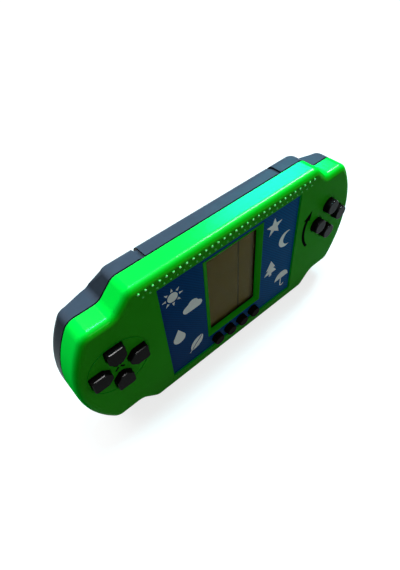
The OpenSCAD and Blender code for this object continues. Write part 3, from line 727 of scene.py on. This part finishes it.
def window_tool():
    """What the sloping window takes out of the face."""
    rings = [(WINDOW_BEVEL, -PAST), (WINDOW_BEVEL, RIM_DEPTH), (0, FACE_WALL), (0, FACE_WALL + PAST)]
    return loft([at_depth(screen_outline(grow), depth) for grow, depth in rings])


# Direction pad, from the frame and the part's source
DPAD_LEFT = box_mm("dpad_left")[0].x
DPAD_RIGHT = box_mm("dpad_right")[1].x
DPAD_X = (DPAD_LEFT + DPAD_RIGHT) / 2
DPAD_Y = middle_of("dpad_right")[1]
DPAD_REACH = (DPAD_RIGHT - DPAD_LEFT) / 2 - FLANGE
DPAD_WIDTH = box_mm("dpad_right")[1].z - box_mm("dpad_right")[0].z - 2 * FLANGE
DPAD_POINT = 3
POINT_FLAT = 1.4
CAP_CORNER = 0.6
CAP_ROUND = 0.5

# The direction caps' skins have soft corners, and a narrower bevel than the solids, for thin gleams
CAP_SOFT = 0.4
CAP_BEVEL = 0.3

# Nodes of the caps, without the first word for the direction caps
SIDES = ("right", "up", "left", "down")
ACTION_CAPS = ("action_right", "action_top", "action_left", "action_bottom")
KEY_CAPS = ("key_1", "key_2", "key_3", "key_4")


def cap_outline(grow):
    """Outline of a direction cap that points along +x, grown, with soft corners."""
    half = DPAD_WIDTH / 2 + grow
    reach = DPAD_REACH + grow
    point = DPAD_POINT + POINT_FLAT - grow
    side_x = point + half - POINT_FLAT
    lower = [(point, -POINT_FLAT), (side_x, -half), (reach - CAP_CORNER, -half), (reach, CAP_CORNER - half)]
    upper = [(x, -y) for x, y in reversed(lower)]
    return round_corners(lower + upper, CAP_SOFT)


def at_side(points, side):
    """Points drawn along +x from the pad's middle, turned to one of its four sides."""
    return shift(turn(points, side * pi / 2), DPAD_X, DPAD_Y)


def cap_radius(node):
    """Radius of a round cap above its flange."""
    low, high = box_mm(node)
    return (high.x - low.x) / 2 - FLANGE


def pad_hole(side):
    """What the hole of a direction cap takes out of the face."""
    return face_cut(lambda grow: at_side(cap_outline(CAP_GAP + grow), side), FACE_WALL + PAST)


def round_hole(node):
    """What the hole of a round cap takes out of the face."""
    x, y = middle_of(node)
    r = cap_radius(node) + CAP_GAP
    return face_cut(lambda grow: circle(x, y, r + grow), FACE_WALL + PAST)


def cap_holes():
    """What the holes of all caps take out of the face."""
    holes = [pad_hole(side) for side in range(len(SIDES))]
    holes += [round_hole(node) for node in ACTION_CAPS + KEY_CAPS]
    return gather(holes)


def panel_outline(grow):
    """Outline of the panel's recess, grown."""
    return rectangle(0, 0, PANEL_HALF[0] + grow, PANEL_HALF[1] + grow)


def panel_recess():
    """What the panel's recess takes out of the face, round the frame of the screen."""
    loops = face_loops(panel_outline, PANEL_RECESS)
    loops += [at_depth(screen_outline(FRAME_WIDTH), depth) for depth in (PANEL_RECESS, -PAST)]
    return loft(loops, closed=True)


def pad_ring():
    """What the ring engraved round the direction pad takes out of the face."""
    outer = circle(DPAD_X, DPAD_Y, DPAD_REACH + RING_GAP)
    inner = circle(DPAD_X, DPAD_Y, DPAD_REACH + RING_GAP - RING_WIDTH)
    return ring_prism(outer, inner, -PAST, RING_DEPTH)


def front_shell():
    """Skin of the front shell: glossy on top, satin at its ends and slopes and on its face."""
    rings = rounding(FACE_ROUND) + [(0, FRONT_DEPTH - EDGE), (EDGE, FRONT_DEPTH)]
    shell = cut(
        loft([at_depth(outline(inset), depth) for inset, depth in rings]),
        prism(outline(SIDE_WALL), FACE_WALL, FRONT_DEPTH + PAST),
        panel_recess(),
        prism(screen_outline(FRAME_WIDTH + OVERLAP), -PAST, RIM_DEPTH),
        window_tool(),
        pad_ring(),
        cap_holes(),
    )
    obj = piece("front_shell_skin", shell, finish["green_shell"], "console", "front_shell")
    obj.data.materials.append(finish["green_side"])
    obj.data.materials.append(finish["green_face"])
    names = obj.data.materials.keys()
    for polygon in obj.data.polygons:
        if -polygon.normal.y > FACING:
            polygon.material_index = names.index("green_face")
        elif polygon.normal.z < RISING or abs(polygon.normal.x) > LEANING:
            polygon.material_index = names.index("green_side")


def screen_pane():
    """Clear pane over the display, set a little off the glass so that the two share no face."""
    front, back = depths_of("screen_lens")
    rings = [(-EDGE, front), (0, front + EDGE), (0, back - OVERLAP)]
    pane = loft([at_depth(screen_outline(LENS_MARGIN + grow), depth) for grow, depth in rings])
    piece("screen_lens_pane", pane, finish["clear_lens"], "console", "screen_lens")


def face_dots():
    """Two rows of raised dots above the panel."""
    sphere = (DOT_RADIUS ** 2 + DOT_RISE ** 2) / (2 * DOT_RISE)
    widest = atan2(DOT_RADIUS, sphere - DOT_RISE)
    turns = [widest * (1 - k / DOME_STEPS) for k in range(DOME_STEPS)]
    dome = [(sphere * sin(a), sphere - DOT_RISE - sphere * cos(a)) for a in turns]
    profile = [(DOT_RADIUS, DOT_ROOT)] + dome
    for row, material in enumerate(("upper_dots", "lower_dots")):
        count = DOT_COUNT - row
        y = BODY_HEIGHT / 2 - FACE_ROUND - row * DOT_ROW_GAP
        dots = [lathe((i - (count - 1) / 2) * DOT_PITCH, y, profile, DOT_STEPS) for i in range(count)]
        piece(f"face_dots_{row + 1}", gather(dots), finish[material], "console")


# Rear shell, in millimetres, as in the part's source

BOSS_EDGE = 7
BOSS_RADIUS = 3.5
END_GAP = 0.5
BOSS_INSET = 7.5
SCREW_HOLE = 1.35
HEAD_HOLE = 2.4
HEAD_SEAT = 3.4
DOOR_BOSS = 2.8
DOOR_HOLE = 1.05
DOOR_BORE_FLOOR = 1.5
DOOR_HEAD_HOLE = 2.05
DOOR_HEAD_HEIGHT = 1
RIB_COUNT = 6
RIB_PITCH = 2
RIB_EDGE = 5
RIB_HALF = (0.4, 8)
RIB_DEPTH = 0.5
TRAY_WALL = 0.9
BAY_WALL = 1.2
DOOR_FRAME = 1.6
DOOR_CORNER = 2
LEDGE_THICKNESS = 1.6
SLOT_COUNT = 5
SLOT_WIDTH = 1.2
SLOT_PITCH = 2.6


def case_screw_spots():
    """Middles of the six case screws in the drawing."""
    end_x = BODY_LENGTH / 2 - END_RADIUS
    y = GRIP_HEIGHT / 2 - BOSS_EDGE
    x = end_x + sqrt((END_RADIUS - BOSS_EDGE) ** 2 - y ** 2) - END_GAP
    middle_x = BODY_LENGTH / 2 - GRIP_LENGTH - BOSS_INSET
    right = [(x, y), (-DPAD_X, -y), (middle_x, BODY_HEIGHT / 2 - BOSS_EDGE)]
    return right + [(-px, py) for px, py in right]


def door_outline(grow):
    """Outline of the battery door, grown."""
    low, high = box_mm("battery_door")
    return round_rectangle(
        low.x - grow, low.z - MIDDLE_Z - grow, high.x + grow, high.z - MIDDLE_Z + grow, DOOR_CORNER
    )


def bay_outline(grow):
    """Outline of the battery bay, grown."""
    half_x = -box_mm("contact_bridge")[0].x
    half_y = box_mm("battery_upper")[1].z - MIDDLE_Z + PLAY
    return rectangle(0, 0, half_x + grow, half_y + grow)


def cylinders(spots, r, front, back):
    """One mesh of equal cylinders at several spots."""
    return gather([prism(circle(x, y, r, SCREW_STEPS), front, back) for x, y in spots])


def sound_slot(x, y, half):
    """What one slot over the buzzer takes out of the back."""
    return back_cut(lambda grow: rectangle(x, y, half + grow, SLOT_WIDTH / 2 + grow), BACK_INSIDE - PAST)


def sound_slots():
    """What the row of slots over the buzzer takes out of the back."""
    x, y = middle_of("buzzer")
    low, high = box_mm("buzzer")
    half = (high.x - low.x) / 4
    rows = [y + (i - (SLOT_COUNT - 1) / 2) * SLOT_PITCH for i in range(SLOT_COUNT)]
    return gather([sound_slot(x, row, half) for row in rows])


def groove(x):
    """What a groove takes out of the rear shell, across its top and over the rounded edge to the back."""
    bend_depth = BODY_DEPTH - BACK_ROUND
    bend_y = BODY_HEIGHT / 2 - BACK_ROUND
    top = BODY_HEIGHT / 2 + PAST
    profile = [(FRONT_DEPTH - PAST, top), (FRONT_DEPTH - PAST, BODY_HEIGHT / 2 - GROOVE_DEPTH)]
    profile += arc(bend_depth, bend_y, BACK_ROUND - GROOVE_DEPTH, pi / 2, 0, ROUND_STEPS)
    profile += [(BODY_DEPTH + PAST, bend_y), (BODY_DEPTH + PAST, top)]
    half = GROOVE_WIDTH / 2
    return loft([[place(end, y, depth) for depth, y in profile] for end in (x - half, x + half)])


def head_hole(x, y):
    """What the head of a case screw takes out of the back."""
    return back_cut(lambda grow: circle(x, y, HEAD_HOLE + grow, SCREW_STEPS), FRONT_DEPTH + HEAD_SEAT)


def back_loops():
    """Loops of the rounded back edge, nearly sharp at the foot of each slope and blunt elsewhere."""
    loops = []
    for blunt, sharp in zip(reversed(rounding(BACK_ROUND)), reversed(rounding(GRIP_EDGE))):
        blunt_loop = at_depth(outline(blunt[0]), BODY_DEPTH - blunt[1])
        sharp_loop = at_depth(outline(sharp[0]), BODY_DEPTH - sharp[1])
        loops.append([sharp_loop[k] if in_foot(k) else blunt_loop[k] for k in range(len(blunt_loop))])
    return loops


def rear_body():
    """Hollow body of the rear shell, stepped in at the seam."""
    seam_back = FRONT_DEPTH + SEAM_LINE
    seam = [(SEAM_LINE, FRONT_DEPTH), (SEAM_LINE, seam_back), (EDGE, seam_back), (0, seam_back + EDGE)]
    step = BODY_DEPTH - BACK_ROUND
    inner = BACK_ROUND - CORNER_WALL
    hollow = [(SIDE_WALL, FRONT_DEPTH - PAST), (SIDE_WALL, step), (inner, step), (inner, BACK_INSIDE)]
    return cut(
        loft([at_depth(outline(inset), depth) for inset, depth in seam] + back_loops()),
        loft([at_depth(outline(inset), depth) for inset, depth in hollow]),
    )


def rear_supports():
    """What stands inside the rear shell: screw bosses, the door's frame and the tray of the battery bay."""
    rooted = BACK_INSIDE + OVERLAP
    door_front = depths_of("battery_door")[0]
    tray_back = depths_of("battery_upper")[0] - PLAY
    return [
        cylinders(case_screw_spots(), BOSS_RADIUS, FRONT_DEPTH + PLAY, rooted),
        prism(door_outline(DOOR_FRAME), door_front - LEDGE_THICKNESS, rooted),
        prism(bay_outline(BAY_WALL), tray_back - TRAY_WALL, rooted),
        cylinders([middle_of("door_screw")], DOOR_BOSS, FRONT_DEPTH + PLAY, door_front - OVERLAP),
    ]


def rear_openings():
    """What the battery bay, the door, the screws, the grooves and the slots take out of the rear shell."""
    spots = case_screw_spots()
    tray_back = depths_of("battery_upper")[0] - PLAY
    back_past = BODY_DEPTH + PAST
    return [
        prism(bay_outline(0), tray_back, back_past),
        back_cut(lambda grow: door_outline(PLAY + grow), depths_of("battery_door")[0]),
        cylinders([middle_of("door_screw")], DOOR_HOLE, FRONT_DEPTH + DOOR_BORE_FLOOR, back_past),
        cylinders(spots, SCREW_HOLE, FRONT_DEPTH - PAST, back_past),
        gather([head_hole(x, y) for x, y in spots]),
        gather([groove(x) for x in (-GROOVE_X, GROOVE_X)]),
        sound_slots(),
    ]


def rear_shell():
    """Skin of the rear shell."""
    shell = cut(join(rear_body(), *rear_supports()), *rear_openings())
    piece("rear_shell_skin", shell, finish["black_shell"], "console", "rear_shell")


def battery_door():
    """Skin of the battery door, with its screw hole and the ribs of its grip."""
    front, back = depths_of("battery_door")
    screw_spot = [middle_of("door_screw")]
    first = box_mm("battery_door")[0].x + RIB_EDGE
    ribs = [rectangle(first + RIB_PITCH * i, 0, *RIB_HALF) for i in range(RIB_COUNT)]
    rings = [(0, front), (0, back - EDGE), (-EDGE, back)]
    door = cut(
        loft([at_depth(door_outline(grow), depth) for grow, depth in rings]),
        cylinders(screw_spot, DOOR_HOLE, front - PAST, back + PAST),
        cylinders(screw_spot, DOOR_HEAD_HOLE, back - DOOR_HEAD_HEIGHT, back + PAST),
        gather([prism(rib, back - RIB_DEPTH, back + PAST) for rib in ribs]),
    )
    piece("battery_door_skin", door, finish["black_shell"], "battery_door", "battery_door")


# Caps

def polish(cap):
    """The upper edge of a cap, which thumbs rub smooth."""
    cap.data.materials.append(finish["cap_edges"])
    for polygon in cap.data.polygons:
        polygon.material_index = int(polygon.normal.z > RISING and -polygon.normal.y > RUBBED)


def direction_caps():
    """Skins of the four direction caps."""
    for side, word in enumerate(SIDES):
        node = "dpad_" + word
        top, bottom = depths_of(node)
        neck = bottom - FLANGE_THICKNESS
        rings = [(FLANGE, bottom), (FLANGE, neck), (0, neck), (0, top + CAP_BEVEL), (-CAP_BEVEL, top)]
        cap = loft([at_depth(at_side(cap_outline(grow), side), depth) for grow, depth in rings])
        polish(piece(node + "_cap", cap, finish["pad_caps"], node, node))


def round_cap(node, material):
    """Skin of one round cap."""
    top, bottom = depths_of(node)
    r = cap_radius(node)
    neck = bottom - FLANGE_THICKNESS
    profile = [(r + FLANGE, bottom), (r + FLANGE, neck), (r, neck)]
    profile += [(r - inset, top + depth) for inset, depth in reversed(rounding(CAP_ROUND))]
    return piece(node + "_cap", lathe(*middle_of(node), profile), material, node, node)


def round_caps():
    """Skins of the four action caps and the four function keys."""
    for node in ACTION_CAPS:
        polish(round_cap(node, finish["action_caps"]))
    for node in KEY_CAPS:
        round_cap(node, finish["key_caps"])


# Prints, in millimetres

INK = 0.03
SIGN_OUTER = 35
SIGN_INNER = 25.5
ARROW_RADIUS = 18.2
ARROW_TAIL = radians(220)
ARROW_NECK = radians(157)
ARROW_TIP = radians(138)
ARROW_THIN = 1.5
ARROW_THICK = 2.3
ARROW_WING = 2.6
ARROW_STEPS = 30
MARK_REACH = 1.9
MARK_HALF = 1.2
MARK_THICK = 1


def sun():
    """Disc with eight rays."""
    disc = 2.7
    foot = 3.5
    tip = 5.6
    half = 0.7
    ray = [(foot, -half), (tip, 0), (foot, half)]
    return [circle(0, 0, disc, steps=40)] + [turn(ray, k * pi / 4) for k in range(8)]


def star():
    """Star with five points."""
    count = 5
    reach = 5.4
    notch = 2.3
    spokes = [reach, notch] * count
    turns = [pi / 2 + k * pi / count for k in range(2 * count)]
    return [[(r * cos(a), r * sin(a)) for r, a in zip(spokes, turns)]]


def drop():
    """Drop with a pointed top."""
    r = 3.5
    low = -1.6
    tip = 5.2
    a = acos(r / (tip - low))
    return [arc(0, low, r, pi / 2 + a, 2.5 * pi - a, steps=30) + [(0, tip)]]


def moon():
    """Crescent between two circles."""
    r = 5
    inner = 4.3
    off = 2.4
    x = (r ** 2 - inner ** 2 + off ** 2) / (2 * off)
    a = acos(x / r)
    b = acos((x - off) / inner)
    return [arc(0, 0, r, a, 2 * pi - a, steps=40) + arc(off, 0, inner, 2 * pi - b, b, steps=30)[1:-1]]


def cloud():
    """Three round heaps on a flat foot."""
    right = arc(3.3, -0.9, 2.1, -pi / 2, radians(60), steps=12)
    top = arc(0.3, 0.8, 3, radians(15), radians(150), steps=16)
    left = arc(-3.3, -0.7, 2.3, radians(105), 1.5 * pi, steps=12)
    return [right + top + left]


def leaf():
    """Slanting leaf in two halves with a stem."""
    half_length = 5.4
    half_width = 3.1
    rib = 0.3
    stem_half = 1.2
    stem_drop = 0.4
    r = (half_length ** 2 + half_width ** 2) / (2 * half_width)
    reach = acos((r - half_width + rib) / r)
    right = arc(half_width - r, 0, r, -reach, reach, steps=20)
    left = [(-x, y) for x, y in reversed(right)]
    stem = rectangle(0, -half_length - stem_drop, rib, stem_half)
    return [turn(shape, -pi / 4) for shape in (right, left, stem)]


def fir():
    """Fir tree, drawn from its trunk to its tip."""
    right = [(0.9, -5.6), (0.9, -3.6), (4.4, -3.6), (1.9, -0.2), (3.3, -0.2), (0, 5.6)]
    return [right + [(-x, y) for x, y in reversed(right[:-1])]]


def umbrella():
    """Half-round roof with a shaft and a hooked handle."""
    roof_radius = 5.2
    half_width = 0.4
    half_length = 2.5
    shaft_y = -2.6
    hook_radius = 0.9
    hook_end = -0.2
    rise = 0.8
    hook_y = shaft_y - half_length
    roof = arc(0, 0, roof_radius, 0, pi, steps=24)
    shaft = rectangle(-half_width, shaft_y, half_width, half_length)
    hook = arc(hook_radius, hook_y, hook_radius + 2 * half_width, -pi, hook_end, steps=12)
    hook += arc(hook_radius, hook_y, hook_radius, hook_end, -pi, steps=12)
    return [shift(shape, 0, rise) for shape in (roof, shaft, hook)]


def panel_signs():
    """Plain pictograms of weather and plants, in a zigzag down both sides of the panel."""
    signs = [
        (sun(), -SIGN_OUTER, 22.5),
        (cloud(), -SIGN_INNER, 9),
        (drop(), -SIGN_OUTER, -6),
        (leaf(), -SIGN_INNER, -20.5),
        (star(), SIGN_INNER, 23),
        (moon(), SIGN_OUTER, 9.5),
        (fir(), SIGN_INNER, -5.5),
        (umbrella(), SIGN_OUTER, -20.5),
    ]
    solids = []
    for shapes, x, y in signs:
        solids += [prism(shift(points, x, y), PANEL_FRONT - INK, PANEL_FRONT) for points in shapes]
    piece("panel_signs", gather(solids), finish["sign_ink"], "console")


def turn_arrow():
    """Curved arrow beside the action buttons, thicker towards its head."""
    turns = [ARROW_TAIL + (ARROW_NECK - ARROW_TAIL) * k / ARROW_STEPS for k in range(ARROW_STEPS + 1)]
    widths = [ARROW_THIN + (ARROW_THICK - ARROW_THIN) * k / ARROW_STEPS for k in range(ARROW_STEPS + 1)]
    outer = [(ARROW_RADIUS + w / 2, a) for w, a in zip(widths, turns)]
    inner = [(ARROW_RADIUS - w / 2, a) for w, a in zip(widths, turns)]
    head = [
        (ARROW_RADIUS + ARROW_WING, ARROW_NECK),
        (ARROW_RADIUS, ARROW_TIP),
        (ARROW_RADIUS - ARROW_WING, ARROW_NECK),
    ]
    points = [(r * cos(a), r * sin(a)) for r, a in outer + head + inner[::-1]]
    arrow = prism(shift(points, -DPAD_X, DPAD_Y), -INK, 0)
    piece("turn_arrow", arrow, finish["black_ink"], "console")


def pad_mark():
    """Small cross at the middle of the direction pad, between its caps."""
    bar = rectangle(MARK_REACH, 0, MARK_HALF, MARK_THICK / 2)
    arms = [turn(bar, pi / 4 + k * pi / 2) for k in range(4)]
    marks = [prism(shift(arm, DPAD_X, DPAD_Y), -INK, 0) for arm in arms]
    piece("pad_mark", gather(marks), finish["black_ink"], "console")


# Stage, in metres, degrees and, for the lens and its sensor, millimetres

CAMERA_PLACE = (-0.09195, -0.1043, 0.1982)
CAMERA_TURN = (40.772, 3.544, -40.663)
CAMERA_LENS = 26.97
CAMERA_SENSOR = 36
CAMERA_NEAR = 0.01
FLOOR_HALF = 3
FLOOR_GLOW = 0.78
FLOOR_PALE = 0.26
FLOOR_DIM = 0.1
WORLD_COLOUR = (0.9, 0.95, 1, 1)
WORLD_STRENGTH = 0.14


def camera():
    """The camera, placed and turned as fitted to the photograph."""
    data = bpy.data.cameras.new("camera")
    data.lens = CAMERA_LENS
    data.sensor_width = CAMERA_SENSOR
    data.clip_start = CAMERA_NEAR
    obj = bpy.data.objects.new("camera", data)
    obj.location = CAMERA_PLACE
    obj.rotation_euler = Euler([radians(a) for a in CAMERA_TURN])
    bpy.context.collection.objects.link(obj)
    bpy.context.scene.camera = obj


def lamp(name, spot, size, watts, colour):
    """Rectangular light at a spot, aimed at the middle of the object."""
    data = bpy.data.lights.new(name, "AREA")
    data.shape = "RECTANGLE"
    data.size, data.size_y = size
    data.energy = watts
    data.color = colour
    obj = bpy.data.objects.new(name, data)
    obj.location = spot
    aim = Vector((0, 0, MIDDLE_Z * MM)) - Vector(spot)
    obj.rotation_euler = aim.to_track_quat("-Z", "Y").to_euler()
    bpy.context.collection.objects.link(obj)


def floor_paint():
    """Pale floor: white with a soft shadow where it is seen or mirrored, dim in the light it sends back."""
    material, tree, shader = new_material("floor_paint")
    tree.nodes.remove(shader)
    path = add_node(tree, "ShaderNodeLightPath").outputs
    seen = calculate(tree, "ADD", path["Is Camera Ray"], path["Is Glossy Ray"])
    seen = calculate(tree, "ADD", seen, path["Is Transmission Ray"])
    glow = add_node(tree, "ShaderNodeEmission", Strength=FLOOR_GLOW)
    pale = add_node(tree, "ShaderNodeBsdfDiffuse", Color=(FLOOR_PALE, FLOOR_PALE, FLOOR_PALE, 1))
    dim = add_node(tree, "ShaderNodeBsdfDiffuse", Color=(FLOOR_DIM, FLOOR_DIM, FLOOR_DIM, 1))
    bright = add_node(tree, "ShaderNodeAddShader")
    tree.links.new(glow.outputs["Emission"], bright.inputs[0])
    tree.links.new(pale.outputs["BSDF"], bright.inputs[1])
    mix = add_node(tree, "ShaderNodeMixShader")
    tree.links.new(seen, mix.inputs["Fac"])
    tree.links.new(dim.outputs["BSDF"], mix.inputs[1])
    tree.links.new(bright.outputs["Shader"], mix.inputs[2])
    tree.links.new(mix.outputs["Shader"], tree.nodes["Material Output"].inputs["Surface"])
    return material


def stage_floor():
    """Flat floor under the object."""
    mesh = bpy.data.meshes.new("floor")
    corners = rectangle(0, 0, FLOOR_HALF, FLOOR_HALF)
    mesh.from_pydata([(x, y, 0) for x, y in corners], [], [range(len(corners))])
    mesh.materials.append(floor_paint())
    obj = bpy.data.objects.new("floor", mesh)
    bpy.context.collection.objects.link(obj)


def light():
    """A broad key light, two gleams along the top's front edge, a sheen on its right and a small glint."""
    lamp("key", (-0.5, 0.55, 1.0), size=(1.1, 1.1), watts=15, colour=(0.97, 1, 1))
    lamp("rim", (0.6, 0.12, 0.85), size=(0.12, 0.5), watts=13, colour=(0.7, 0.95, 1))
    lamp("grip_rim", (0.06, 0.12, 0.98), size=(0.17, 0.17), watts=5.5, colour=(0.25, 0.95, 1))
    lamp("sheen", (0.83, 0.72, 0.88), size=(0.35, 0.35), watts=10.5, colour=(0.03, 0.8, 1))
    lamp("glint", (0.058, -0.86, 0.615), size=(0.1, 0.055), watts=0.3, colour=(1, 1, 1))
    world = bpy.data.worlds.new("world")
    world.use_nodes = True
    background = world.node_tree.nodes["Background"]
    background.inputs["Color"].default_value = WORLD_COLOUR
    background.inputs["Strength"].default_value = WORLD_STRENGTH
    bpy.context.scene.world = world


camera()
paint_frame()
front_shell()
screen_pane()
face_dots()
rear_shell()
battery_door()
direction_caps()
round_caps()
panel_signs()
turn_arrow()
pad_mark()
stage_floor()
light()
bpy.context.scene.view_settings.view_transform = "Standard"
